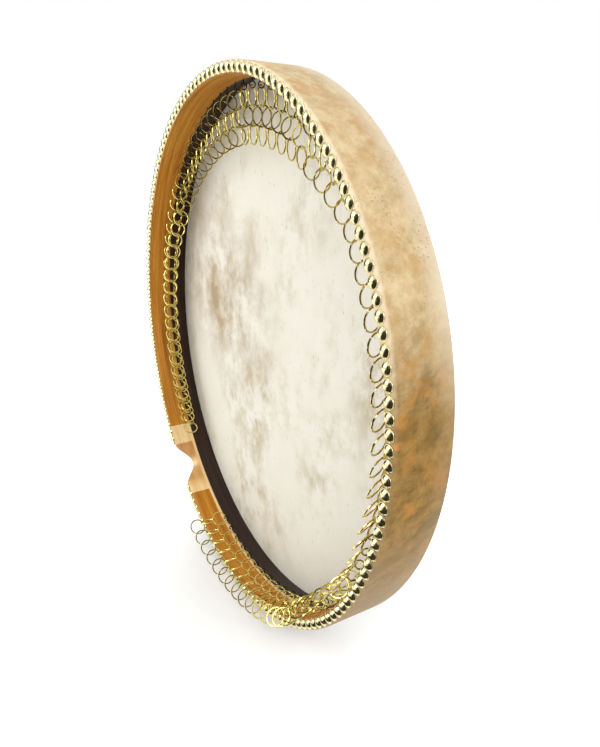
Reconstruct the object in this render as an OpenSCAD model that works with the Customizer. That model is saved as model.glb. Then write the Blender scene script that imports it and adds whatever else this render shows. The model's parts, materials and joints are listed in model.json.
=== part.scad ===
// Frame drum with linked jingle rings, standing upright on its rim.
// The origin is the centre of the head's outer face. The head faces +Y, the open back faces -Y and +Z is up.
// Angles around the hoop run clockwise from the top, seen from the open back looking along +Y.

/* [Hoop] */
// Outside diameter of the wooden hoop
hoop_d = 526; // [350:1:600]
// Thickness of the hoop at its back edge
hoop_wall = 10; // [8:0.5:14]
// Depth of the hoop from back edge to bearing edge
hoop_depth = 50; // [40:1:80]
// Width of the straight inner band, from the back edge
band_depth = 27; // [20:1:34]
// Width left at the bearing edge under the head
bearing_w = 3; // [2.6:0.1:5]
// Rounding of the front edge that the hide turns over
front_round = 2.2; // [1:0.1:2.5]
// Rounding of the outer back edge
back_round = 2.5; // [1:0.1:3]
// Rounding of the inner front edge of the band
band_round = 1.2; // [0.5:0.1:1.8]

/* [Bevel lining] */
// Thickness of the dark lining on the bevel
lining_t = 0.9; // [0.4:0.1:1]

/* [Drum head] */
// Thickness of the hide
skin_t = 0.6; // [0.4:0.1:1.2]
// Bare wood left on the back edge inside the folded hide
fold_bare = 1; // [0.5:0.5:3]

/* [Thumb notch] */
// Place of the notch around the hoop, in degrees
notch_at = 222; // [200:1:240]
// Length of the notch along the back edge
notch_w = 66; // [50:1:80]
// Depth of the notch into the back edge
notch_h = 17.5; // [8:0.5:22]

/* [Tacks] */
// Diameter of a domed tack head
tack_head_d = 9.8; // [6:0.1:10]
// Height of a domed tack head
tack_head_h = 2.9; // [1.5:0.1:4]
// Least gap between one tack head and the next along the back edge
tack_gap = 0.8; // [0.3:0.1:10]
// Diameter of a tack shank
tack_shank_d = 1.6; // [1:0.1:2]
// Length of a tack shank
tack_shank_l = 11; // [8:0.5:14]
// Clear length along the back edge from the end of the notch to the middle of the first tack
tack_clear = 3; // [2:0.5:12]

/* [Hooks] */
// Angle around the hoop left without hooks for the player's hand
hook_gap = 36; // [30:1:60]
// Middle of the stretch without hooks, in degrees
hook_gap_at = 219.5; // [210:0.5:230]
// Distance from the front edge of the band back to the hooks
hook_set = 1.8; // [1.4:0.1:4]
// Distance from the band in to the middle of an eye
eye_off = 6; // [5:0.1:8]
// Mean radius of an eye
eye_r = 2.7; // [2.3:0.1:3]
// Wire of an eye
eye_wire = 1.4; // [1:0.1:1.6]
// Diameter of the hook's screw, a little over the wire of its eye
screw_d = 1.6; // [1.1:0.1:1.8]
// Depth of the hook's screw in the wood
screw_in = 6; // [4:0.5:8]

/* [Rings] */
// Outside diameter of a ring
ring_d = 18.4; // [14:0.1:18.6]
// Wire of a ring
ring_wire = 1.4; // [1:0.1:1.6]
// Amount by which a ring is wider than the spacing of the hooks
ring_lap = 0.6; // [0.3:0.1:0.6]
// Play between one ring and the next
link_gap = 0.3; // [0.2:0.05:0.8]
// Drop of the first ring's wire below the middle of its eye
eye_drop = 0.6; // [0.3:0.05:0.8]

/* [Lay of the chains] */
// Lean into the hoop of the chains on the right, for each step down
lean_in_right = 0.3; // [0.28:0.01:0.34]
// Lean to the back of the chains on the right, for each step down
lean_back_right = 0.54; // [0.5:0.01:0.6]
// Lean into the hoop of the chains on the left, for each step down
lean_in_left = 0.57; // [0.5:0.01:0.62]
// Lean to the back of the chains on the left, for each step down
lean_back_left = 0.18; // [0.1:0.01:0.25]
// Lean into the hoop of the chains at the lower right, for each step down
lean_in_low = 0.23; // [0.2:0.01:0.26]
// Rise of the chains that lie along the bottom, for each step out
rise_bottom = 0.08; // [0.02:0.01:0.1]
// Share of a ring's step kept where a chain bends over the back edge
bend_keep = 0.97; // [0.9:0.01:0.98]
// Turn of the three rings on the right, in degrees
turn_right = [28, 173, 25]; // [0:1:180]
// Turn of the three rings on the left, in degrees
turn_left = [36, 76, 36]; // [0:1:180]
// Turn of the three rings along the bottom, in degrees
turn_bottom = [27, 84, -7]; // [-20:1:180]

/* [Hidden] */
$fn = 96;
chain_nodes = 40;
chain_levels = 3;
turn_top = [0, 90, 0];
hoop_r = hoop_d / 2;
band_r = hoop_r - hoop_wall;
hook_count = floor((360 - hook_gap) * PI / 180 * band_r / (ring_d - ring_lap));
hook_step = (360 - hook_gap) / hook_count;
front_s = skin_t;
back_s = skin_t + hoop_depth;
band_s = back_s - band_depth;
bevel_step = 2;
bearing_drop = 0.8;
bearing_ease = 0.4;
bevel_start = [band_r + bevel_step, band_s];
bevel_end = [hoop_r - bearing_w, front_s + bearing_drop];
tack_ring_r = hoop_r - hoop_wall / 2;
tack_start = notch_w / 2 + tack_clear;
tack_span = 360 - 2 * tack_start / tack_ring_r * 180 / PI;
tack_count = floor(tack_span * PI / 180 * tack_ring_r / (tack_head_d + tack_gap)) + 1;
hook_s = band_s + hook_set;
ring_r = (ring_d - ring_wire) / 2;
ring_step = 2 * ring_r - ring_wire - link_gap;
first_drop = ring_r + eye_drop;
last_ring_s = hook_s + first_drop + (chain_levels - 1) * ring_step - ring_d / 2;
tack_top_s = back_s + skin_t + tack_head_h;
drop_run = [0, 0.72, -0.69];
arc_steps = 6;
notch_steps = 36;
cut_over = 15;
shank_lap = 0.5;

wood_colour = [0.72, 0.45, 0.16];
dark_colour = [0.20, 0.13, 0.10];
hide_colour = [0.88, 0.80, 0.66];
brass_colour = [0.85, 0.70, 0.32];
black_colour = [0.07, 0.07, 0.07];

// Points of an arc about c, from angle a to angle b
function arc(c, r, a, b) =
  [for (i = [0 : arc_steps]) c + r * [cos(a + (b - a) * i / arc_steps), sin(a + (b - a) * i / arc_steps)]];

function unit(v) = v / norm(v);

// Outside of the hoop's section as radius and distance behind the head's face, from bearing edge to back edge
function outside(extra) = concat(
  arc([hoop_r - front_round, front_s + front_round], front_round + extra, -90, 0),
  arc([hoop_r - back_round, back_s - back_round], back_round + extra, 0, 90)
);

function reversed(list) = [for (i = [len(list) - 1 : -1 : 0]) list[i]];

// Turns a section drawn as radius and distance behind the head into a ring about the drum's axis
module ring_of_section(points) {
  rotate([90, 0, 0])
    rotate_extrude($fn = 360)
      polygon(points);
}

// Places something drawn at the top of the hoop at another angle
module at_angle(a) {
  rotate([0, a, 0])
    children();
}

// Turns something drawn about +Z so that it lies about the direction n at c
module about(c, n) {
  translate(c)
    rotate([0, acos(n.z / norm(n)), atan2(n.y, n.x)])
      children();
}

module wire_ring(mean_r, wire) {
  rotate_extrude()
    translate([mean_r, 0])
      circle(d = wire, $fn = 32);
}

function notch_at_t(t) = back_s - notch_h * (1 + cos(360 * t / notch_w)) / 2;

// The thumb notch as a cutter through the wall, with a smooth S-curve at each end
module notch_cut() {
  floor_line = [for (i = [0 : notch_steps]) let (t = notch_w * (i / notch_steps - 0.5)) [t, -notch_at_t(t)]];
  lip = [[notch_w / 2, -back_s - cut_over], [-notch_w / 2, -back_s - cut_over]];
  at_angle(notch_at)
    translate([0, 0, band_r - cut_over])
      linear_extrude(hoop_wall + 2 * cut_over)
        polygon(concat(floor_line, lip));
}

module hoop() {
  color(wood_colour)
    difference() {
      ring_of_section(concat(
        [[hoop_r - bearing_w + bearing_ease, front_s]],
        outside(0),
        [[band_r, back_s]],
        arc([band_r + band_round, band_s + band_round], band_round, 180, 270),
        [bevel_start, bevel_end]
      ));
      notch_cut();
    }
}

module bevel_lining() {
  color(dark_colour)
    ring_of_section([
      bevel_start,
      bevel_end,
      bevel_end - [lining_t, 0],
      bevel_start - [lining_t, 0]
    ]);
}

// The stretched hide across the front, flat on the bearing edge
module drum_head() {
  color(hide_colour)
    translate([0, -front_s, 0])
      rotate([-90, 0, 0])
        cylinder(r = hoop_r - front_round, h = skin_t, $fn = 360);
}

// The same hide from the edge of the front, down the outside and onto the back edge
module head_skirt() {
  color(hide_colour)
    difference() {
      ring_of_section(concat(
        outside(skin_t),
        [[band_r + fold_bare, back_s + skin_t], [band_r + fold_bare, back_s]],
        reversed(outside(0))
      ));
      notch_cut();
      fold_end();
    }
}

// The fold stops either side of the notch, short of the first tacks' far edges
module fold_end() {
  at_angle(notch_at)
    translate([-tack_start + tack_head_d, -back_s - 2 * skin_t, band_r - cut_over])
      cube([2 * (tack_start - tack_head_d), 2 * skin_t, hoop_wall + cut_over - back_round]);
}

module tack() {
  dome_r = (tack_head_d * tack_head_d / 4 + tack_head_h * tack_head_h) / (2 * tack_head_h);
  union() {
    intersection() {
      translate([0, 0, tack_head_h - dome_r])
        sphere(dome_r, $fn = 48);
      cylinder(d = tack_head_d + shank_lap, h = tack_head_h + shank_lap, $fn = 48);
    }
    translate([0, 0, -tack_shank_l])
      cylinder(d = tack_shank_d, h = tack_shank_l + shank_lap, $fn = 24);
  }
}

module tacks() {
  color(brass_colour)
    for (i = [0 : tack_count - 1])
      at_angle(notch_at + 180 - tack_span / 2 + i * tack_span / (tack_count - 1))
        translate([0, -back_s - skin_t, tack_ring_r])
          rotate([90, 0, 0])
            tack();
}

// Angle of a hook, counted clockwise from the gap
function hook_angle(i) = hook_gap_at + hook_gap / 2 + (i + 0.5) * hook_step;
// First hook of a group, with the hooks shared out evenly among the groups
function first_hook(group) = floor(group * hook_count / chain_nodes);
function turned(a) = a - 360 * floor(a / 360);
function is_left(a) = turned(a) > hook_gap_at;
// Angle from the top down either side, past the bottom on the right
function from_top(a) = is_left(a) ? 360 - turned(a) : turned(a);
// The left side has no chains along the bottom, so its lay stops changing at this angle
function lay_angle(a) = is_left(a) ? min(from_top(a), 90) : from_top(a);

// The way a chain runs from its eye, as parts along the hoop, to the back and in toward the axis
function run(a) =
  let (
    q = lay_angle(a),
    lean_in = is_left(a) ? lean_in_left : lean_in_right,
    lean_back = is_left(a) ? lean_back_left : lean_back_right,
    along = q < 90 ? sin(q) : lookup(q, [[90, 1], [113, 1], [150, 0]]),
    back = lookup(q, [[45, 0], [75, lean_back], [97, lean_back], [150, 1]]),
    inward = max(cos(q), lookup(q, [[97, lean_in], [129, lean_in_low], [150, rise_bottom]]))
  )
  unit([along, back, inward]);

// Share of the drop over the back edge, for a chain that reaches past the tacks
function drop(a) = last_ring_s > tack_top_s ? lookup(lay_angle(a), [[118, 0], [150, 1]]) : 0;
// The last ring of a chain along the bottom drops over the back edge
function run_last(a) = unit(run(a) * (1 - drop(a)) + drop_run * drop(a));

function turn(a, level) =
  is_left(a)
    ? lookup(lay_angle(a), [[36, turn_top[level]], [50, turn_left[level]]])
    : lookup(lay_angle(a), [
        [25, turn_top[level]],
        [28, turn_right[level]],
        [118, turn_right[level]],
        [153, turn_bottom[level]]
      ]);

// The way a ring faces, turned about the run d of its chain
function facing(a, level, d) =
  let (
    mark = unit([-1, 1, 1]),
    c = unit(mark - d * (mark * d)),
    s = cross(d, c)
  )
  c * cos(turn(a, level)) + s * sin(turn(a, level));

// Carries parts along, to the back and inward into the space drawn at the top of the hoop
function at_top(a, p) = [is_left(a) ? -p[0] : p[0], -p[1], -p[2]];

// Middle of a ring, measured from its eye
function ring_place(a, level) =
  level < chain_levels - 1
    ? run(a) * (first_drop + ring_step * level)
    : run(a) * (first_drop + ring_step * (level - 1)) + bend_step(a);
function bend_step(a) = (run(a) + run_last(a)) * ring_step * (1 - (1 - bend_keep) * drop(a)) / 2;

function eye_place() = [0, -hook_s, band_r - eye_off];

// One chain of rings on the hook at angle a
module chain(a) {
  at_angle(a)
    for (level = [0 : chain_levels - 1])
      about(
        eye_place() + at_top(a, ring_place(a, level)),
        at_top(a, facing(a, level, level == chain_levels - 1 ? run_last(a) : run(a)))
      )
        wire_ring(ring_r, ring_wire);
}

// The neighbouring chains, two on a full-size hoop, that swing about the line through their eyes
module chain_group(group) {
  color(brass_colour)
    for (i = [first_hook(group) : first_hook(group + 1) - 1])
      chain(hook_angle(i));
}

// An eye is screwed in with its hole across the first ring's wire
module hook(a) {
  across = cross(facing(a, 0, run(a)), run(a));
  hole = at_top(a, [across[0], across[1], 0]);
  at_angle(a)
    union() {
      about(eye_place(), hole)
        wire_ring(eye_r, eye_wire);
      translate(eye_place() + [0, 0, eye_r])
        cylinder(d = screw_d, h = eye_off - eye_r + screw_in, $fn = 24);
    }
}

module hooks() {
  color(black_colour)
    for (i = [0 : hook_count - 1])
      hook(hook_angle(i));
}

module chain_01() {
  chain_group(0);
}
module chain_02() {
  chain_group(1);
}
module chain_03() {
  chain_group(2);
}
module chain_04() {
  chain_group(3);
}
module chain_05() {
  chain_group(4);
}
module chain_06() {
  chain_group(5);
}
module chain_07() {
  chain_group(6);
}
module chain_08() {
  chain_group(7);
}
module chain_09() {
  chain_group(8);
}
module chain_10() {
  chain_group(9);
}
module chain_11() {
  chain_group(10);
}
module chain_12() {
  chain_group(11);
}
module chain_13() {
  chain_group(12);
}
module chain_14() {
  chain_group(13);
}
module chain_15() {
  chain_group(14);
}
module chain_16() {
  chain_group(15);
}
module chain_17() {
  chain_group(16);
}
module chain_18() {
  chain_group(17);
}
module chain_19() {
  chain_group(18);
}
module chain_20() {
  chain_group(19);
}
module chain_21() {
  chain_group(20);
}
module chain_22() {
  chain_group(21);
}
module chain_23() {
  chain_group(22);
}
module chain_24() {
  chain_group(23);
}
module chain_25() {
  chain_group(24);
}
module chain_26() {
  chain_group(25);
}
module chain_27() {
  chain_group(26);
}
module chain_28() {
  chain_group(27);
}
module chain_29() {
  chain_group(28);
}
module chain_30() {
  chain_group(29);
}
module chain_31() {
  chain_group(30);
}
module chain_32() {
  chain_group(31);
}
module chain_33() {
  chain_group(32);
}
module chain_34() {
  chain_group(33);
}
module chain_35() {
  chain_group(34);
}
module chain_36() {
  chain_group(35);
}
module chain_37() {
  chain_group(36);
}
module chain_38() {
  chain_group(37);
}
module chain_39() {
  chain_group(38);
}
module chain_40() {
  chain_group(39);
}

hoop();
bevel_lining();
drum_head();
head_skirt();
tacks();
hooks();
chain_01();
chain_02();
chain_03();
chain_04();
chain_05();
chain_06();
chain_07();
chain_08();
chain_09();
chain_10();
chain_11();
chain_12();
chain_13();
chain_14();
chain_15();
chain_16();
chain_17();
chain_18();
chain_19();
chain_20();
chain_21();
chain_22();
chain_23();
chain_24();
chain_25();
chain_26();
chain_27();
chain_28();
chain_29();
chain_30();
chain_31();
chain_32();
chain_33();
chain_34();
chain_35();
chain_36();
chain_37();
chain_38();
chain_39();
chain_40();
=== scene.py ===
import json
import math
import random

import bpy
import numpy as np
from mathutils import Matrix, Vector


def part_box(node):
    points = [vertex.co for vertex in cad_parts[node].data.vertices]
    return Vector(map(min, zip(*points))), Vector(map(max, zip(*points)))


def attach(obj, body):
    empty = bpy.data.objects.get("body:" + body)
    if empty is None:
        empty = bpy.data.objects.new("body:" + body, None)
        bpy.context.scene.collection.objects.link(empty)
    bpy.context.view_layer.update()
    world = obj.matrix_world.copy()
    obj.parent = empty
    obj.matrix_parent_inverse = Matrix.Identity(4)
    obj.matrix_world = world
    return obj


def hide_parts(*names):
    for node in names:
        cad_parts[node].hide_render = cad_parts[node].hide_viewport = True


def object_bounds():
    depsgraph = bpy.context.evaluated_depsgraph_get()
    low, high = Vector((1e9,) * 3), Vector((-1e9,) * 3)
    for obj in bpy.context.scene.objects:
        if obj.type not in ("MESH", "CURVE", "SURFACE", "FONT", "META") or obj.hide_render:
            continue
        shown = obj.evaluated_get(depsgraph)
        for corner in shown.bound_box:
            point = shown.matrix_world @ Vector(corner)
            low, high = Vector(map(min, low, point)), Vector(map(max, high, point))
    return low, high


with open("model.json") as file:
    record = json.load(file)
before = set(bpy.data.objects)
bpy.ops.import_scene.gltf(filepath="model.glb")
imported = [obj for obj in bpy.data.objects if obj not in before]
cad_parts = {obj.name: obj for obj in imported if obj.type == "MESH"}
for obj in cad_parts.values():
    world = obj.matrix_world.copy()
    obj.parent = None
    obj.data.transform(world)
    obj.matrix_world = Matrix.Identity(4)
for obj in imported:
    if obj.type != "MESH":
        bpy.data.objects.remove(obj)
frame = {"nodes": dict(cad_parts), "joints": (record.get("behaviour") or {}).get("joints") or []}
cad_low, cad_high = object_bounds()


# The hoop is a strip of hardwood, steam-bent into a ring and glued at a long scarf joint. Inside it has a
# straight band behind and a bevel in front, and a thumb notch is carved in its back edge. It is stained
# orange-brown and varnished, but bare where the notch was carved, where it carries painted shade and a
# painted highlight, and along the lower part of the band's edge, where the pale bare strip is also a painted
# highlight.
MM = 0.001  # a millimetre in metres: sizes are in millimetres, and angles in degrees
NEAR = 0.1  # slack for picking points by their place
HOOP_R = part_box("hoop")[1].x / MM
FRONT_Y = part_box("hoop")[1].y / MM
BACK_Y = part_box("hoop")[0].y / MM
WALL = 10
BAND_R = HOOP_R - WALL
BAND_DEPTH = 27
BAND_FRONT_Y = BACK_Y + BAND_DEPTH
BAND_ROUND = 1.2
BAND_ROWS = 6
LEDGE = 2
BEARING_W = 3
BEARING_H = 0.8
BEARING_EASE = 0.4
BEVEL_TOP = (BAND_R + LEDGE, BAND_FRONT_Y)
BEVEL_END = (HOOP_R - BEARING_W, FRONT_Y - BEARING_H)
FRONT_ROUND = 2.2
BACK_ROUND = 2.5
INNER_BACK_ROUND = 0.8
RING_STEPS = 480
NOTCH_AT = 222  # turn round the hoop, clockwise from the top seen from the open back
NOTCH_W = 66
NOTCH_H = 17.5
NOTCH_ROUND = 1.8
NOTCH_SCOOP = 5.6
SCOOP_SPREAD = 0.6  # below 1 carries the scoop on toward the ends of the notch
SCARF_AT = 100
BARE_FROM, BARE_TO = 211.5, 234  # turns between which the carved wood is bare
# Width of the pale bare strip along the band's front edge, which also stands for a painted highlight.
BARE_AND_LIT_MARGIN = 3.6
BARE_Y = BAND_FRONT_Y - BARE_AND_LIT_MARGIN
CARVED_SHORT = 1
NOTCH_LENGTH = math.radians(NOTCH_AT - SCARF_AT - 180) * BAND_R  # where the notch is along the strip
# Spans along the strip and depths of the painted shade and painted highlight on the notch's bare wood.
SHADE_BEFORE, SHADE_AFTER = 40, 36
SHADE_EDGE_FROM, SHADE_EDGE_TO = BARE_Y + 0.6, BARE_Y - 1
GRAIN_L, GRAIN_W = 70, 1
STRIPE_L, STRIPE_W = 160, 7
PORE_L, PORE_W = 9, 0.7


def arc(centre, radius, start, end, steps=6):
    """Points of an arc, as radius and distance along the drum's axis."""
    turns = [math.radians(start + (end - start) * i / steps) for i in range(steps + 1)]
    return [(centre[0] + radius * math.cos(t), centre[1] + radius * math.sin(t)) for t in turns]


def begin(add_primitive, name, **size):
    """Adds a primitive with nothing else selected, and names it."""
    bpy.ops.object.select_all(action="DESELECT")
    add_primitive(**size)
    piece = bpy.context.object
    piece.name = piece.data.name = name
    return piece


def turned(name, section, closed, steps, weld=0.01):
    """A piece turned about the Y axis from a section of (radius, y) points, welded where its points meet."""
    piece = begin(bpy.ops.mesh.primitive_circle_add, name, vertices=len(section), radius=1)
    for vertex, (radius, y) in zip(piece.data.vertices, section):
        vertex.co = (0, y * MM, radius * MM)
    bpy.ops.object.mode_set(mode="EDIT")
    if not closed:
        bpy.ops.mesh.select_all(action="DESELECT")
        bpy.ops.object.mode_set(mode="OBJECT")
        for edge in piece.data.edges:
            edge.select = set(edge.vertices) == {0, len(section) - 1}
        bpy.ops.object.mode_set(mode="EDIT")
        bpy.ops.mesh.select_mode(type="EDGE")
        bpy.ops.mesh.delete(type="EDGE")
        bpy.ops.mesh.select_mode(type="VERT")
    bpy.ops.mesh.select_all(action="SELECT")
    bpy.ops.mesh.spin(steps=steps, angle=math.tau, center=(0, 0, 0), axis=(0, 1, 0))
    bpy.ops.mesh.select_all(action="SELECT")
    bpy.ops.mesh.remove_doubles(threshold=weld * MM)
    bpy.ops.mesh.normals_make_consistent(inside=False)
    bpy.ops.object.mode_set(mode="OBJECT")
    return piece


def shade_smooth(piece, sharp=35):
    """Smooth shading that keeps edges sharper than an angle."""
    bpy.ops.object.select_all(action="DESELECT")
    piece.select_set(True)
    bpy.context.view_layer.objects.active = piece
    bpy.ops.object.shade_smooth_by_angle(angle=math.radians(sharp))


def around(point):
    """Angle of a point around the hoop, clockwise from the top seen from the open back."""
    return math.degrees(math.atan2(point[0], point[2])) % 360


def along_notch(point):
    """Distance of a point along the back edge from the middle of the notch, endless on the far side."""
    turn = math.radians(NOTCH_AT)
    if point[0] * math.sin(turn) + point[2] * math.cos(turn) < 0:
        return math.inf
    return (point[0] * math.cos(turn) - point[2] * math.sin(turn)) / MM


def notch_depth(t):
    """Depth of the notch at a distance t from its middle, a smooth S-curve at each end."""
    return NOTCH_H * (1 + math.cos(math.tau * t / NOTCH_W)) / 2 if abs(t) < NOTCH_W / 2 else 0


def hex_colour(code):
    """An sRGB hex colour as linear red, green, blue and alpha."""
    parts = [int(code[i:i + 2], 16) / 255 for i in (1, 3, 5)]
    return [c / 12.92 if c <= 0.04045 else ((c + 0.055) / 1.055) ** 2.4 for c in parts] + [1]


def add(material, kind, inputs=None, stops=None, **settings):
    """Adds a node to a material. An input is a value, or a link given as (node, output)."""
    tree = material.node_tree
    node = tree.nodes.new("ShaderNode" + kind)
    for name, value in settings.items():
        setattr(node, name, value)
    ends = {0: 0, 1: -1}
    for place, colour in stops or []:
        ramp = node.color_ramp.elements
        stop = ramp[ends[place]] if place in ends else ramp.new(place)
        stop.color = colour
    for socket, value in (inputs or {}).items():
        if isinstance(value, tuple) and isinstance(value[0], bpy.types.Node):
            tree.links.new(value[0].outputs[value[1]], node.inputs[socket])
        else:
            node.inputs[socket].default_value = value
    return node


def material_of(name, **constants):
    """A material with a Principled shader whose plain numbers are set on its own sockets."""
    material = bpy.data.materials.new(name)
    material.use_nodes = True
    shader = material.node_tree.nodes["Principled BSDF"]
    for socket, value in constants.items():
        shader.inputs[socket.replace("_", " ")].default_value = value
    return material, shader


def join(material, shader, **links):
    """Links nodes to the shader's sockets, each given as (node, output)."""
    for socket, (node, output) in links.items():
        material.node_tree.links.new(node.outputs[output], shader.inputs[socket.replace("_", " ")])


MIX_FACTOR, MIX_A, MIX_B, MIX_OUT = 0, 6, 7, 2  # the Mix node's sockets for colours


def mix(material, factor, first, second, blend="MIX"):
    """A colour mix of two colours or links."""
    return add(material, "Mix", {MIX_FACTOR: factor, MIX_A: first, MIX_B: second},
               data_type="RGBA", blend_type=blend, clamp_factor=True), MIX_OUT


def grain_space(material):
    """Coordinates that follow the bent strip in millimetres: length round the hoop, depth and radius."""
    place = add(material, "TexCoord")
    scarf_below = add(material, "Mapping", {"Vector": (place, "Object"),
                                            "Rotation": (0, math.radians(180 - SCARF_AT), 0)})
    apart = add(material, "SeparateXYZ", {0: (scarf_below, 0)})
    angle = add(material, "Math", {0: (apart, "X"), 1: (apart, "Z")}, operation="ARCTAN2")
    length = add(material, "Math", {0: (angle, 0), 1: BAND_R}, operation="MULTIPLY")
    squares = add(material, "Math", {0: (apart, "X"), 1: (apart, "X")}, operation="MULTIPLY")
    squares = add(material, "Math", {0: (apart, "Z"), 1: (apart, "Z"), 2: (squares, 0)},
                  operation="MULTIPLY_ADD")
    radius = add(material, "Math", {0: (squares, 0)}, operation="SQRT")
    depth_mm = add(material, "Math", {0: (apart, "Y"), 1: 1 / MM}, operation="MULTIPLY")
    radius_mm = add(material, "Math", {0: (radius, 0), 1: 1 / MM}, operation="MULTIPLY")
    return add(material, "CombineXYZ", {"X": (length, 0), "Y": (depth_mm, 0), "Z": (radius_mm, 0)})


def painted_notch_shading(material, strip, colour):
    """Paints shade onto the notch's bare wood along its slopes, up to a crisp edge, with a painted highlight
    at its middle.
    """
    apart = add(material, "SeparateXYZ", {0: (strip, 0)})
    along = add(material, "MapRange", {"Value": (apart, "X"), "From Min": NOTCH_LENGTH - SHADE_BEFORE,
                                       "From Max": NOTCH_LENGTH + SHADE_AFTER})
    tint = add(material, "ValToRGB", {0: (along, 0)}, stops=[
        (0, hex_colour("#FFFFFF")), (0.08, hex_colour("#FAF0E4")), (0.2, hex_colour("#DAC4A8")),
        (0.39, hex_colour("#D6BE9E")), (0.48, hex_colour("#FFFCF8")), (0.55, hex_colour("#F2E4D4")),
        (0.64, hex_colour("#D2B48E")), (0.87, hex_colour("#CEAE82")), (0.895, hex_colour("#FFFFFF"))])
    inside = add(material, "MapRange", {"Value": (apart, "Y"), "From Min": SHADE_EDGE_FROM,
                                        "From Max": SHADE_EDGE_TO})
    return mix(material, (inside, 0), colour, (tint, 0), "MULTIPLY")


def wood(name, dark, middle, light, rough, gloss, paint_notch_shade=False):
    """Straight-grained hardwood: fine lines along the strip, broader stripes of tone, and short dark pores,
    drawn wider than in real wood so that they show."""
    material, shader = material_of(name, Roughness=rough, Specular_IOR_Level=gloss)
    strip = grain_space(material)
    lines = add(material, "Mapping", {"Vector": (strip, 0), "Scale": (1 / GRAIN_L, 1 / GRAIN_W, 1 / GRAIN_W)})
    lines = add(material, "TexNoise", {"Vector": (lines, 0), "Scale": 1, "Detail": 4, "Roughness": 0.6})
    stripes = add(material, "Mapping", {"Vector": (strip, 0),
                                        "Scale": (1 / STRIPE_L, 1 / STRIPE_W, 1 / STRIPE_W)})
    stripes = add(material, "TexNoise", {"Vector": (stripes, 0), "Scale": 1, "Detail": 3, "Distortion": 0.4})
    pores = add(material, "Mapping", {"Vector": (strip, 0), "Scale": (1 / PORE_L, 1 / PORE_W, 1 / PORE_W)})
    pores = add(material, "TexNoise", {"Vector": (pores, 0), "Scale": 1, "Detail": 1})
    pores = add(material, "MapRange", {"Value": (pores, 0), "From Min": 0.62, "From Max": 0.74})
    tone = add(material, "Math", {0: (lines, 0), 1: (stripes, 0)}, operation="ADD")
    tone = add(material, "MapRange", {"Value": (tone, 0), "From Min": 0.72, "From Max": 1.3})
    tone = add(material, "ValToRGB", {0: (tone, 0)},
               stops=[(0, hex_colour(dark)), (0.5, hex_colour(middle)), (1, hex_colour(light))])
    pore_share = add(material, "Math", {0: (pores, 0), 1: 0.45}, operation="MULTIPLY")
    colour = mix(material, (pore_share, 0), (tone, 0), hex_colour(dark), "MULTIPLY")
    # Painted shade on the notch's slopes and a painted highlight at its waist.
    if paint_notch_shade:
        colour = painted_notch_shading(material, strip, colour)
    bump = add(material, "Bump", {"Height": (lines, 0), "Strength": 0.2, "Distance": 0.02 * MM})
    join(material, shader, Base_Color=colour, Normal=(bump, 0))
    return material


def section_of_hoop(inner_round, scoop):
    """Section of the hoop, with the rounding of its inner back edge and the depth of the scoop inside it."""
    inner_back = BACK_Y + inner_round
    rows = [i / BAND_ROWS for i in range(1, BAND_ROWS + 1)]
    return (
        [(HOOP_R - BEARING_W + BEARING_EASE, FRONT_Y)]
        + arc((HOOP_R - FRONT_ROUND, FRONT_Y - FRONT_ROUND), FRONT_ROUND, 90, 0)
        + arc((HOOP_R - BACK_ROUND, BACK_Y + BACK_ROUND), BACK_ROUND, 0, -90)
        + arc((BAND_R + scoop + inner_round, inner_back), inner_round, -90, -180)
        + [(BAND_R + scoop * (1 - k) ** 2 * (1 + 2 * k), inner_back + (BARE_Y - inner_back) * k)
           for k in rows]
        + arc((BAND_R + BAND_ROUND, BAND_FRONT_Y - BAND_ROUND), BAND_ROUND, 180, 90)
        + [BEVEL_TOP, BEVEL_END]
    )


plain_section = section_of_hoop(INNER_BACK_ROUND, 0)
notch_section = section_of_hoop(NOTCH_ROUND, NOTCH_SCOOP)
hoop = turned("hoop_strip", plain_section, True, RING_STEPS)
for vertex in hoop.data.vertices:
    depth = notch_depth(along_notch(vertex.co))
    radius = math.hypot(vertex.co.x, vertex.co.z) / MM
    y = vertex.co.y / MM
    if depth and y < BARE_Y:
        nearest = min(range(len(plain_section)), key=lambda i: math.dist(plain_section[i], (radius, y)))
        worn = (depth / NOTCH_H) ** SCOOP_SPREAD
        shift = [(b - a) * worn for a, b in zip(plain_section[nearest], notch_section[nearest])]
        on_back_edge = y < BACK_Y + BACK_ROUND + NEAR and radius > BAND_R + NEAR
        rise = 1 if on_back_edge else (BARE_Y - y) / (BARE_Y - BACK_Y)
        vertex.co.x *= 1 + shift[0] / radius
        vertex.co.z *= 1 + shift[0] / radius
        vertex.co.y += (depth * rise + shift[1]) * MM
hoop.data.materials.append(wood("varnished_hardwood", "#985B12", "#C48020", "#DA9E46", 0.5, 0.25))
# The bare wood carries painted shade on the notch's slopes and a painted highlight at its waist.
hoop.data.materials.append(wood("bare_hardwood", "#E4BC7E", "#F2D29A", "#FAE4BC", 0.45, 0.4, paint_notch_shade=True))
for face in hoop.data.polygons:
    turn = around(face.center)
    radius = math.hypot(face.center.x, face.center.z) / MM
    y = face.center.y / MM
    at_notch = BARE_FROM < turn < BARE_TO and y < BAND_FRONT_Y - CARVED_SHORT
    # Along the lower part of the band's front edge, the pale bare wood is also a painted highlight.
    on_bare_and_lit_margin = SCARF_AT < turn < BARE_TO and BARE_Y < y < BAND_FRONT_Y + NEAR
    face.material_index = int(at_notch or (on_bare_and_lit_margin and radius < BAND_R + LEDGE + NEAR))
shade_smooth(hoop)
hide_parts("hoop")
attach(hoop, "drum")


# The bevel is lined with a thin strip of dark wood, glued on and varnished.
# It runs from the band's front edge to the hide and shows as a dark ring round the head.
LINING_T = 0.9

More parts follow.
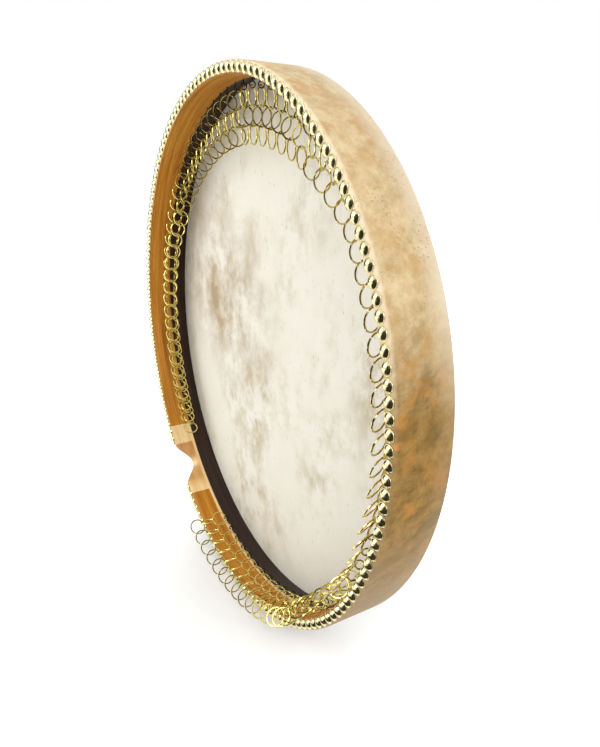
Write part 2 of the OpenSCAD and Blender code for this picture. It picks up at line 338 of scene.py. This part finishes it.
lining_section = [
    BEVEL_TOP,
    BEVEL_END,
    (BEVEL_END[0] + BEARING_EASE, FRONT_Y),
    (BEVEL_END[0] + BEARING_EASE - LINING_T, FRONT_Y),
    (BEVEL_TOP[0] - LINING_T, BEVEL_TOP[1]),
]
lining = turned("bevel_strip", lining_section, True, RING_STEPS)
lining.data.materials.append(wood("dark_stained_veneer", "#251914", "#34241D", "#402D25", 0.5, 0.2))
shade_smooth(lining)
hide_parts("bevel_lining")
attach(lining, "drum")


# The head is one scraped goat hide, stretched wet over the bearing edge and turned down over the outside of
# the hoop. Its margin is folded onto the back edge under the tacks, and trimmed away along the thumb notch.
# The stretched part is cream with faint tan clouds, and the rest is parchment with orange and olive stains.
SKIN_T = 0.6
HEAD_RINGS = 16
FOLD_BARE = 1
FOLD_ROW = 2
CUT_POINTS = 60
CUT_IN, CUT_OUT = -0.35, 0.5  # how far the knife strayed
TRIM_SHORT = 1.5
TRIM_PROUD = 0.3
FLAT_DEPTH = 0.3
FLAT_FACING = 0.9  # how squarely a face of the stretched part looks along the axis
SEED = 7
CLOUD = 120
PATCH_W, PATCH_H = 25, 34
SPINE_AT = (-120, 0, 45)
SPINE_SIZE = (170, 100, 120)
SPINE_TURN = 20
DAPPLE = 55
HAIR_W, HAIR_L = 2, 9
# The painted shade darkens the hide between these heights.
FLANK_FROM, FLANK_TO = 95, 20  # heights on Z, as are the next two
UNDERSIDE_FROM, UNDERSIDE_TO = -50, -130
# The painted sheen along the front margin lies between these places.
FRONT_MARGIN_FROM, FRONT_MARGIN_TO = -20, -3  # places on Y, as are the next four
FRONT_TURN_FROM, FRONT_TURN_TO = -2.2, -0.2
# The painted highlight on the fold lies between these places.
FOLD_FROM, FOLD_TO = -48.4, -50.4
ELSEWHERE = (310, 75, 190)  # shifts a pattern so that it doesn't fall on another
WARM_STAIN = 80
ORANGE_STAIN = 26
OLIVE_STREAK = (40, 19, 34)
OLIVE_SLANT = -55
HAIRY_PATCH = 26
SPECK = 2.6
SKIN_PORE = 10


def in_millimetres(material):
    """The piece's own coordinates, in millimetres."""
    place = add(material, "TexCoord")
    return add(material, "Mapping", {"Vector": (place, "Object"), "Scale": (1 / MM, 1 / MM, 1 / MM)})


def scraped_rawhide():
    """Scraped, stretched rawhide: cream, clouded tan in ragged patches, with short hairs left in it."""
    material, shader = material_of("scraped_rawhide", Roughness=0.62, Specular_IOR_Level=0.3)
    place = in_millimetres(material)
    clouds = add(material, "TexNoise", {"Vector": (place, 0), "Scale": 1 / CLOUD, "Detail": 3,
                                        "Roughness": 0.5})
    clouds = add(material, "MapRange", {"Value": (clouds, 0), "From Min": 0.46, "From Max": 0.66})
    ragged = add(material, "Mapping", {"Vector": (place, 0), "Scale": (1 / PATCH_W, 1, 1 / PATCH_H)})
    ragged = add(material, "TexNoise", {"Vector": (ragged, 0), "Scale": 1, "Detail": 9, "Roughness": 0.7})
    patches = add(material, "MapRange", {"Value": (ragged, 0), "From Min": 0.44, "From Max": 0.62})
    stain = add(material, "Math", {0: (clouds, 0), 1: (patches, 0)}, operation="MULTIPLY")
    spine = add(material, "Mapping", {"Vector": (place, 0), "Location": SPINE_AT, "Scale": SPINE_SIZE,
                                      "Rotation": (0, math.radians(SPINE_TURN), 0)}, vector_type="TEXTURE")
    spine = add(material, "VectorMath", {0: (spine, 0)}, operation="LENGTH")
    spine = add(material, "MapRange", {"Value": (spine, "Value"), "From Min": 1.0, "From Max": 0.3})
    dapple = add(material, "TexNoise", {"Vector": (place, 0), "Scale": 1 / DAPPLE, "Detail": 10,
                                        "Roughness": 0.66})
    dapple = add(material, "MapRange", {"Value": (dapple, 0), "From Min": 0.4, "From Max": 0.62})
    dapple = add(material, "Math", {0: (dapple, 0), 1: (spine, 0)}, operation="MULTIPLY")
    hairs = add(material, "Mapping", {"Vector": (place, 0), "Scale": (1 / HAIR_W, 1, 1 / HAIR_L)})
    hairs = add(material, "TexNoise", {"Vector": (hairs, 0), "Scale": 1, "Detail": 2})
    hairs = add(material, "MapRange", {"Value": (hairs, 0), "From Min": 0.68, "From Max": 0.78,
                                       "To Max": 0.5})
    base = mix(material, (ragged, 0), hex_colour("#F9F6EB"), hex_colour("#EFEAD8"))
    clouded = mix(material, (stain, 0), base, hex_colour("#CDBE9E"))
    dappled = mix(material, (dapple, 0), clouded, hex_colour("#B9A27E"))
    haired = mix(material, (hairs, 0), dappled, hex_colour("#A08A66"))
    bump = add(material, "Bump", {"Height": (ragged, 0), "Strength": 0.2, "Distance": 0.2 * MM})
    join(material, shader, Base_Color=haired, Normal=(bump, 0))
    return material


def parchment_rawhide():
    """Hair side of rawhide: parchment with orange and olive stains and hair specks. Painted shade makes it
    browner and more stained on the low flank, it is greyer towards the very bottom, and it has a painted
    sheen along its front margin and a painted highlight on the fold, both fading on the low flank."""
    material, shader = material_of("parchment_rawhide", Roughness=0.55, Specular_IOR_Level=0.15)
    place = in_millimetres(material)
    shifted = add(material, "Mapping", {"Vector": (place, 0), "Location": ELSEWHERE})
    axes = add(material, "SeparateXYZ", {0: (place, 0)})
    # Painted shade: the hide is drawn browner, with more orange and olive stain, towards the bottom.
    shaded_low_flank = add(material, "MapRange", {"Value": (axes, "Z"), "From Min": FLANK_FROM,
                                           "From Max": FLANK_TO})
    # Painted sheen: a paler band along the front margin, strongest near the top.
    front_sheen_most = add(material, "MapRange", {"Value": (shaded_low_flank, 0), "To Min": 0.75, "To Max": 0.12})
    painted_front_sheen = add(material, "MapRange", {"Value": (axes, "Y"), "From Min": FRONT_MARGIN_FROM,
                                            "From Max": FRONT_MARGIN_TO, "To Max": (front_sheen_most, 0)})
    # Painted highlight: the rounded fold over the back edge is drawn paler, less so lower down.
    fold_highlight_most = add(material, "MapRange", {"Value": (shaded_low_flank, 0), "To Min": 0.7, "To Max": 0.1})
    painted_fold_highlight = add(material, "MapRange", {"Value": (axes, "Y"), "From Min": FOLD_FROM, "From Max": FOLD_TO,
                                           "To Max": (fold_highlight_most, 0)})
    painted_highlight_share = add(material, "Math", {0: (painted_front_sheen, 0), 1: (painted_fold_highlight, 0)}, operation="MAXIMUM")
    front_turn = add(material, "MapRange", {"Value": (axes, "Y"), "From Min": FRONT_TURN_FROM,
                                            "From Max": FRONT_TURN_TO})
    # The hide is drawn greyer and paler towards the very bottom.
    underside = add(material, "MapRange", {"Value": (axes, "Z"), "From Min": UNDERSIDE_FROM,
                                           "From Max": UNDERSIDE_TO, "To Max": 0.75})
    orange_share = add(material, "MapRange", {"Value": (shaded_low_flank, 0), "To Min": 0.4, "To Max": 0.75})
    warm = add(material, "TexNoise", {"Vector": (shifted, 0), "Scale": 1 / WARM_STAIN, "Detail": 4,
                                      "Distortion": 0.6})
    warm = add(material, "MapRange", {"Value": (warm, 0), "From Min": 0.38, "From Max": 0.58,
                                      "To Max": (orange_share, 0)})
    orange = add(material, "TexNoise", {"Vector": (place, 0), "Scale": 1 / ORANGE_STAIN, "Detail": 9,
                                        "Roughness": 0.6})
    orange = add(material, "MapRange", {"Value": (orange, 0), "From Min": 0.53, "From Max": 0.61})
    orange = add(material, "Math", {0: (orange, 0), 1: (warm, 0)}, operation="MULTIPLY")
    streaks = add(material, "Mapping", {"Vector": (shifted, 0), "Scale": OLIVE_STREAK,
                                        "Rotation": (math.radians(OLIVE_SLANT), 0, 0)}, vector_type="TEXTURE")
    olive = add(material, "TexNoise", {"Vector": (streaks, 0), "Scale": 1, "Detail": 9, "Roughness": 0.66})
    olive = add(material, "MapRange", {"Value": (olive, 0), "From Min": 0.49, "From Max": 0.61})
    olive_share = add(material, "MapRange", {"Value": (shaded_low_flank, 0), "To Min": 0.15, "To Max": 0.62})
    olive = add(material, "Math", {0: (olive, 0), 1: (olive_share, 0)}, operation="MULTIPLY")
    specks = add(material, "TexVoronoi", {"Vector": (place, 0), "Scale": 1 / SPECK, "Randomness": 1})
    specks = add(material, "MapRange", {"Value": (specks, "Distance"), "From Min": 0.26, "From Max": 0.1})
    hairy = add(material, "TexNoise", {"Vector": (shifted, 0), "Scale": 1 / HAIRY_PATCH, "Detail": 4})
    hairy = add(material, "MapRange", {"Value": (hairy, 0), "From Min": 0.47, "From Max": 0.62,
                                       "To Max": 0.6})
    specks = add(material, "Math", {0: (specks, 0), 1: (hairy, 0)}, operation="MULTIPLY")
    pores = add(material, "TexNoise", {"Vector": (place, 0), "Scale": 1 / SKIN_PORE, "Detail": 10,
                                       "Roughness": 0.7})
    grain = add(material, "MapRange", {"Value": (pores, 0), "From Min": 0.34, "From Max": 0.64})
    base = mix(material, (grain, 0), hex_colour("#DAB882"), hex_colour("#F2DBAE"))
    brown = mix(material, (grain, 0), hex_colour("#886630"), hex_colour("#B68F4E"))
    # Painted shade: browner towards the bottom.
    flank = mix(material, (shaded_low_flank, 0), base, brown)
    stained = mix(material, (orange, 0), flank, hex_colour("#CE9046"))
    stained = mix(material, (olive, 0), stained, hex_colour("#7A6230"))
    greyed_underside = mix(material, (underside, 0), stained, hex_colour("#B89E78"))
    # The painted sheen and painted highlight are mixed in here.
    pale = mix(material, (painted_highlight_share, 0), greyed_underside, hex_colour("#FAEACE"))
    specked = mix(material, (specks, 0), pale, hex_colour("#6A4A22"))
    stretched = mix(material, (front_turn, 0), specked, hex_colour("#F4EFE1"))
    bump = add(material, "Bump", {"Height": (pores, 0), "Strength": 0.15, "Distance": 0.1 * MM})
    join(material, shader, Base_Color=stretched, Normal=(bump, 0))
    return material


hide_section = (
    [((HOOP_R - FRONT_ROUND) * i / HEAD_RINGS, FRONT_Y + SKIN_T) for i in range(HEAD_RINGS)]
    + arc((HOOP_R - FRONT_ROUND, FRONT_Y - FRONT_ROUND), FRONT_ROUND + SKIN_T, 90, 0)
    + arc((HOOP_R - BACK_ROUND, BACK_Y + BACK_ROUND), BACK_ROUND + SKIN_T, 0, -90)
    + [(BAND_R + FOLD_BARE + FOLD_ROW, BACK_Y - SKIN_T), (BAND_R + FOLD_BARE, BACK_Y - SKIN_T)]
)
hide = turned("hide", hide_section, False, RING_STEPS)
chance = random.Random(SEED)
hand_cut = [chance.uniform(CUT_IN, CUT_OUT) for i in range(CUT_POINTS)]
for vertex in hide.data.vertices:
    t = along_notch(vertex.co)
    radius = math.hypot(vertex.co.x, vertex.co.z)
    if radius < (BAND_R + FOLD_BARE + NEAR) * MM and vertex.co.y < BACK_Y * MM:
        place = around(vertex.co) / 360 * CUT_POINTS
        share = place % 1
        before, after = int(place) % CUT_POINTS, int(place + 1) % CUT_POINTS
        cut = hand_cut[before] * (1 - share) + hand_cut[after] * share
        vertex.co.x *= 1 + cut * MM / radius
        vertex.co.z *= 1 + cut * MM / radius
    if abs(t) < NOTCH_W / 2 and vertex.co.y < (BACK_Y + BACK_ROUND + NEAR) * MM:
        vertex.co.y += notch_depth(t) * MM
bpy.ops.object.mode_set(mode="EDIT")
bpy.ops.mesh.select_mode(type="FACE")
bpy.ops.mesh.select_all(action="DESELECT")
bpy.ops.object.mode_set(mode="OBJECT")
for face in hide.data.polygons:
    t = along_notch(face.center)
    on_edge = face.center.y < (BACK_Y + BACK_ROUND + notch_depth(t) - TRIM_PROUD) * MM
    face.select = abs(t) < NOTCH_W / 2 - TRIM_SHORT and on_edge
bpy.ops.object.mode_set(mode="EDIT")
bpy.ops.mesh.delete(type="FACE")
bpy.ops.object.mode_set(mode="OBJECT")
thickness = hide.modifiers.new("thickness", "SOLIDIFY")
thickness.thickness = SKIN_T * MM
thickness.offset = -1
bpy.ops.object.modifier_apply(modifier="thickness")
hide.data.materials.append(parchment_rawhide())
hide.data.materials.append(scraped_rawhide())
for face in hide.data.polygons:
    at_front = face.center.y > (FRONT_Y - FLAT_DEPTH) * MM
    face.material_index = int(at_front and abs(face.normal.y) > FLAT_FACING)
shade_smooth(hide)
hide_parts("drum_head", "head_skirt")
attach(hide, "drum")


# Domed brass upholstery tacks are driven through the folded hide into the back edge, head to head all the way
# round except at the notch. Each is a pressed dome with a rolled lip and a shank, and none sits quite square.
TACK_D = 9.8
TACK_H = 2.9
TACK_LIP = 0.5
TACK_LIP_FROM = -100
TACK_DOME_D = 9
TACK_SHANK_D = 1.6
TACK_SHANK_L = 11
TACK_POINT_L = 3
TACK_SIDES = 20
TACK_PITCH = 10.6
TACK_CLEAR = 3
TACK_START = NOTCH_W / 2 + TACK_CLEAR
TACK_RING_R = HOOP_R - WALL / 2
TACK_TILT = 2.5
BRASS_MARK = 4


def brass(name, colour, rough):
    """Bright brass, pressed or drawn: warm pale gold, with faint handling marks in its gloss and tint."""
    material, shader = material_of(name, Metallic=1)
    marks = add(material, "TexNoise", {"Vector": (in_millimetres(material), 0), "Scale": 1 / BRASS_MARK,
                                       "Detail": 4, "Roughness": 0.6})
    gloss = add(material, "MapRange", {"Value": (marks, 0), "From Min": 0.35, "From Max": 0.7,
                                       "To Min": rough, "To Max": rough + 0.12})
    tarnish = add(material, "MapRange", {"Value": (marks, 0), "From Min": 0.5, "From Max": 0.75,
                                         "To Max": 0.35})
    tint = mix(material, (tarnish, 0), hex_colour(colour), hex_colour("#B79A55"))
    join(material, shader, Base_Color=tint, Roughness=(gloss, 0))
    return material


def copies(name, pattern, places):
    """One piece made of a pattern's copies, each with its own mesh at a place given as a matrix."""
    parts = []
    for place in places:
        part = pattern.copy()
        part.data = pattern.data.copy()
        part.data.transform(place)
        bpy.context.scene.collection.objects.link(part)
        parts.append(part)
    bpy.ops.object.select_all(action="DESELECT")
    for part in parts:
        part.select_set(True)
    bpy.context.view_layer.objects.active = parts[0]
    bpy.ops.object.join()
    parts[0].name = parts[0].data.name = name
    return parts[0]


dome_h = TACK_H - TACK_LIP
dome_r = (TACK_DOME_D ** 2 / 4 + dome_h ** 2) / (2 * dome_h)
dome_half = math.degrees(math.asin(TACK_DOME_D / 2 / dome_r))
tack_section = (
    arc((0, dome_r - TACK_H), dome_r, -90, -90 + dome_half)
    + arc((TACK_D / 2 - TACK_LIP / 2, -TACK_LIP / 2), TACK_LIP / 2, TACK_LIP_FROM, 90, steps=4)
    + [(TACK_SHANK_D / 2, 0), (TACK_SHANK_D / 2, TACK_SHANK_L - TACK_POINT_L), (0, TACK_SHANK_L)]
)
tack = turned("tack_pattern", tack_section, False, TACK_SIDES)
tack.data.materials.append(brass("pressed_brass", "#E3D8A4", 0.16))
shade_smooth(tack, sharp=40)
tack_span = 360 - math.degrees(2 * TACK_START / TACK_RING_R)
tack_count = math.floor(math.radians(tack_span) * TACK_RING_R / TACK_PITCH) + 1
tack_places = []
for i in range(tack_count):
    turn = math.radians(NOTCH_AT + 180 - tack_span / 2 + i * tack_span / (tack_count - 1))
    seat = Matrix.Translation((0, (BACK_Y - SKIN_T) * MM, TACK_RING_R * MM))
    lean_x = Matrix.Rotation(math.radians(chance.uniform(-TACK_TILT, TACK_TILT)), 4, "X")
    lean_z = Matrix.Rotation(math.radians(chance.uniform(-TACK_TILT, TACK_TILT)), 4, "Z")
    tack_places.append(Matrix.Rotation(turn, 4, "Y") @ seat @ lean_x @ lean_z)
tacks = copies("tack_row", tack, tack_places)
bpy.data.objects.remove(tack)
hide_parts("tacks")
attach(tacks, "drum")


# Each jingle chain hangs from a small screw eye of blackened steel wire, turned into the band just behind its
# front edge. The chains are split rings of brass wire, three to a hook, each linked through the one before.
# Their places come from the frame: every chain's rings are read from its solid, and its eyes from its joint.
RING_D = 18.4
RING_WIRE = 1.4
RING_CUT = 7
RING_SIDES = 36
CUT_TOWARD = Vector((1, 2, 3))
CUT_SPREAD = 900  # how far a ring's own place turns its cut from that direction
EYE_R = 2.7
EYE_WIRE = 1.1
EYE_OFF = 6
EYE_CUT = 16
EYE_SIDES = 18
SCREW_IN = 6
RUBBED_SPOT = 3
HOOK_STEP = 4.05
FIRST_DROP = 9.1


def wire(name, points, diameter):
    """Round wire along points, with closed ends, and six-sided to keep its many copies light."""
    piece = begin(bpy.ops.curve.primitive_bezier_curve_add, name)
    piece.data.splines.clear()
    line = piece.data.splines.new("POLY")
    line.points.add(len(points) - 1)
    for point, place in zip(line.points, points):
        point.co = (*(MM * x for x in place), 1)
    piece.data.bevel_depth = diameter / 2 * MM
    piece.data.bevel_resolution = 1
    piece.data.use_fill_caps = True
    bpy.ops.object.convert(target="MESH")
    piece = bpy.context.object
    piece.name = piece.data.name = name
    return piece


def blackened_steel():
    """Steel wire blackened in hot oil: nearly black with a soft gloss, rubbed to a grey-brown in spots."""
    material, shader = material_of("blackened_steel", Roughness=0.42, Metallic=0.6)
    rubbed = add(material, "TexNoise", {"Vector": (in_millimetres(material), 0), "Scale": 1 / RUBBED_SPOT})
    rubbed = add(material, "MapRange", {"Value": (rubbed, 0), "From Min": 0.5, "From Max": 0.8})
    tint = mix(material, (rubbed, 0), hex_colour("#161412"), hex_colour("#4A443C"))
    join(material, shader, Base_Color=tint)
    return material


def rings_of(node, weld=0.001):
    """Middle and facing of each ring in a chain's solid, from a merged copy taken apart."""
    bpy.ops.object.select_all(action="DESELECT")
    copy = frame["nodes"][node].copy()
    copy.data = copy.data.copy()
    copy.parent = None
    bpy.context.scene.collection.objects.link(copy)
    copy.select_set(True)
    bpy.context.view_layer.objects.active = copy
    bpy.ops.object.mode_set(mode="EDIT")
    bpy.ops.mesh.select_all(action="SELECT")
    bpy.ops.mesh.remove_doubles(threshold=weld * MM)
    bpy.ops.mesh.separate(type="LOOSE")
    bpy.ops.object.mode_set(mode="OBJECT")
    found = []
    for ring in list(bpy.context.selected_objects):
        points = np.empty(len(ring.data.vertices) * 3)
        ring.data.vertices.foreach_get("co", points)
        points = points.reshape(-1, 3)
        middle = (points.min(0) + points.max(0)) / 2
        facing = np.linalg.eigh(np.cov((points - points.mean(0)).T))[1][:, 0]
        found.append((Vector(middle), Vector(facing).normalized()))
        mesh = ring.data
        bpy.data.objects.remove(ring)
        bpy.data.meshes.remove(mesh)
    return sorted(found, key=lambda ring: tuple(ring[0]))


def facing_frame(middle, facing, toward):
    """A place whose Z axis is the facing and whose X axis points as nearly as it can toward a direction."""
    z = facing.normalized()
    x = (toward - z * toward.dot(z)).normalized()
    turn = Matrix((x, z.cross(x), z)).transposed().to_4x4()
    return Matrix.Translation(middle) @ turn


ring_r = (RING_D - RING_WIRE) / 2
ring_turns = [math.radians(RING_CUT / 2 + (360 - RING_CUT) * i / RING_SIDES) for i in range(RING_SIDES + 1)]
ring_points = [(ring_r * math.cos(t), ring_r * math.sin(t), 0) for t in ring_turns]
ring_pattern = wire("ring_pattern", ring_points, RING_WIRE)
ring_pattern.data.materials.append(brass("drawn_brass_wire", "#DFD07C", 0.14))
shade_smooth(ring_pattern, sharp=50)

eye_turns = [math.radians(EYE_CUT + (360 - EYE_CUT) * i / EYE_SIDES) for i in range(EYE_SIDES + 1)]
eye_points = [(EYE_R * math.cos(t), -EYE_R * math.sin(t), 0) for t in eye_turns]
screw_points = [(EYE_R + EYE_WIRE / 2, 0, 0), (EYE_OFF, 0, 0), (EYE_OFF + SCREW_IN, 0, 0)]
eye_pattern = wire("eye_pattern", eye_points + screw_points, EYE_WIRE)
eye_pattern.data.materials.append(blackened_steel())
shade_smooth(eye_pattern, sharp=50)

eye_places = []
for joint in frame["joints"]:
    node = joint["child"]
    rings = rings_of(node)
    spread = Vector(joint["axis"]) * (BAND_R - EYE_OFF) * math.sin(math.radians(HOOK_STEP / 2)) * MM
    for eye in (Vector(joint["pos_m"]) - spread, Vector(joint["pos_m"]) + spread):
        outward = Vector((eye.x, 0, eye.z)).normalized()
        first, facing = min(rings, key=lambda ring: abs((ring[0] - eye).length - FIRST_DROP * MM))
        across = facing.cross(first - eye)
        eye_places.append(facing_frame(eye, across - outward * across.dot(outward), outward))
    places = [facing_frame(middle, facing, CUT_TOWARD + middle * CUT_SPREAD) for middle, facing in rings]
    chain = copies(node.replace("chain", "jingle_chain"), ring_pattern, places)
    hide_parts(node)
    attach(chain, node)
hooks = copies("screw_eyes", eye_pattern, eye_places)
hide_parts("hooks")
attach(hooks, "drum")
bpy.data.objects.remove(ring_pattern)
bpy.data.objects.remove(eye_pattern)


# A plain white studio: a pale floor, a white room, and three broad soft lamps, one at the upper left behind
# the open back, one high on the right and one in front of the head. Four dark felt cards, seen only in
# reflections, give the brass its darks. Places and sizes here are in metres, and lamps are in watts.
FLOOR_SIZE = 12
SHADOW_FROM, SHADOW_TO = 0.06, 0.3
SHADOW_WHITE, FAR_WHITE = 0.2, 0.95
ROOM_LIGHT, ROOM_WHITE = 0.5, 1.0
CARD_UP = 1 * MM
CARD_SLANT = -50
CAMERA_AT = (513.3 * MM, -264.5 * MM, 160.0 * MM)
CAMERA_YAW = 59.772
CAMERA_PITCH = 17.715
FOCAL_PIXELS = 575
PHOTO_HEIGHT = 747
SENSOR = 36


def seen_directly(material):
    """One for a ray from the camera, off a gloss or through glass, and nought for other light."""
    rays = add(material, "LightPath")
    seen = add(material, "Math", {0: (rays, "Is Camera Ray"), 1: (rays, "Is Glossy Ray")},
               operation="MAXIMUM")
    return add(material, "Math", {0: (seen, 0), 1: (rays, "Is Transmission Ray")}, operation="MAXIMUM"), 0


# The floor is whitened where it is seen, but less by the foot of the drum, where its shadow shows.
floor = begin(bpy.ops.mesh.primitive_plane_add, "floor", size=FLOOR_SIZE, location=(0, 0, cad_low.z))
paper, paper_shader = material_of("white_paper", Base_Color=hex_colour("#DCDCDC"), Roughness=0.9,
                                  Emission_Color=(1, 1, 1, 1))
distance = add(paper, "VectorMath", {0: (add(paper, "TexCoord"), "Object")}, operation="LENGTH")
white = add(paper, "MapRange", {"Value": (distance, "Value"), "From Min": SHADOW_FROM, "From Max": SHADOW_TO,
                                "To Min": SHADOW_WHITE, "To Max": FAR_WHITE}, interpolation_type="SMOOTHSTEP")
white = add(paper, "Math", {0: (white, 0), 1: seen_directly(paper)}, operation="MULTIPLY")
join(paper, paper_shader, Emission_Strength=(white, 0))
floor.data.materials.append(paper)

felt = material_of("black_felt", Base_Color=hex_colour("#1E1A14"), Roughness=1)[0]
flat = Matrix.Identity(4)
upright = Matrix.Rotation(math.radians(90), 4, "Y")
slanted = Matrix.Rotation(math.radians(CARD_SLANT), 4, "Z") @ upright
cards = (
    ("card_on_floor", (1.0, -1.02, cad_low.z + CARD_UP), flat, (2.0, 1.8)),
    ("card_on_right", (1.9, 0.2, 0.5), upright, (1.5, 2.6)),
    ("card_behind_camera", (0.95, -1.1, 0.5), slanted, (1.6, 1.9)),
    ("card_on_left", (-1.6, -0.4, 0.35), upright, (1.2, 1.6)),
)
for name, place, turn, (width, length) in cards:
    card = begin(bpy.ops.mesh.primitive_plane_add, name, size=1)
    card.data.transform(Matrix.Translation(place) @ turn @ Matrix.Diagonal((width, length, 1, 1)))
    card.data.materials.append(felt)
    card.visible_camera = False
    card.visible_diffuse = False
    card.visible_shadow = False

world = bpy.data.worlds.new("white_room")
world.use_nodes = True
bpy.context.scene.world = world
level = add(world, "MapRange", {"Value": seen_directly(world), "To Min": ROOM_LIGHT, "To Max": ROOM_WHITE})
room = world.node_tree.nodes["Background"]
room.inputs["Color"].default_value = (1, 1, 1, 1)
world.node_tree.links.new(level.outputs[0], room.inputs["Strength"])

lamps = (
    ("key", (-0.6, -1.5, 1.0), 1.4, 18.5),
    ("fill", (1.5, -0.4, 0.8), 1.0, 11),
    ("back", (-0.5, 1.5, 0.25), 1.4, 11),
)
for name, place, size, power in lamps:
    bpy.ops.object.light_add(type="AREA", location=place)
    lamp = bpy.context.object
    lamp.name = lamp.data.name = name
    lamp.data.shape = "DISK"
    lamp.data.size = size
    lamp.data.energy = power
    lamp.rotation_euler = (-lamp.location).to_track_quat("-Z", "Y").to_euler()

camera_data = bpy.data.cameras.new("camera")
camera_data.sensor_width = SENSOR
camera_data.lens = FOCAL_PIXELS / PHOTO_HEIGHT * SENSOR
camera = bpy.data.objects.new("camera", camera_data)
bpy.context.scene.collection.objects.link(camera)
yaw, pitch = math.radians(CAMERA_YAW), math.radians(CAMERA_PITCH)
forward = Vector((-math.sin(yaw) * math.cos(pitch), math.cos(yaw) * math.cos(pitch), -math.sin(pitch)))
camera.location = CAMERA_AT
camera.rotation_euler = forward.to_track_quat("-Z", "Y").to_euler()
bpy.context.scene.camera = camera
bpy.context.scene.view_settings.view_transform = "Standard"
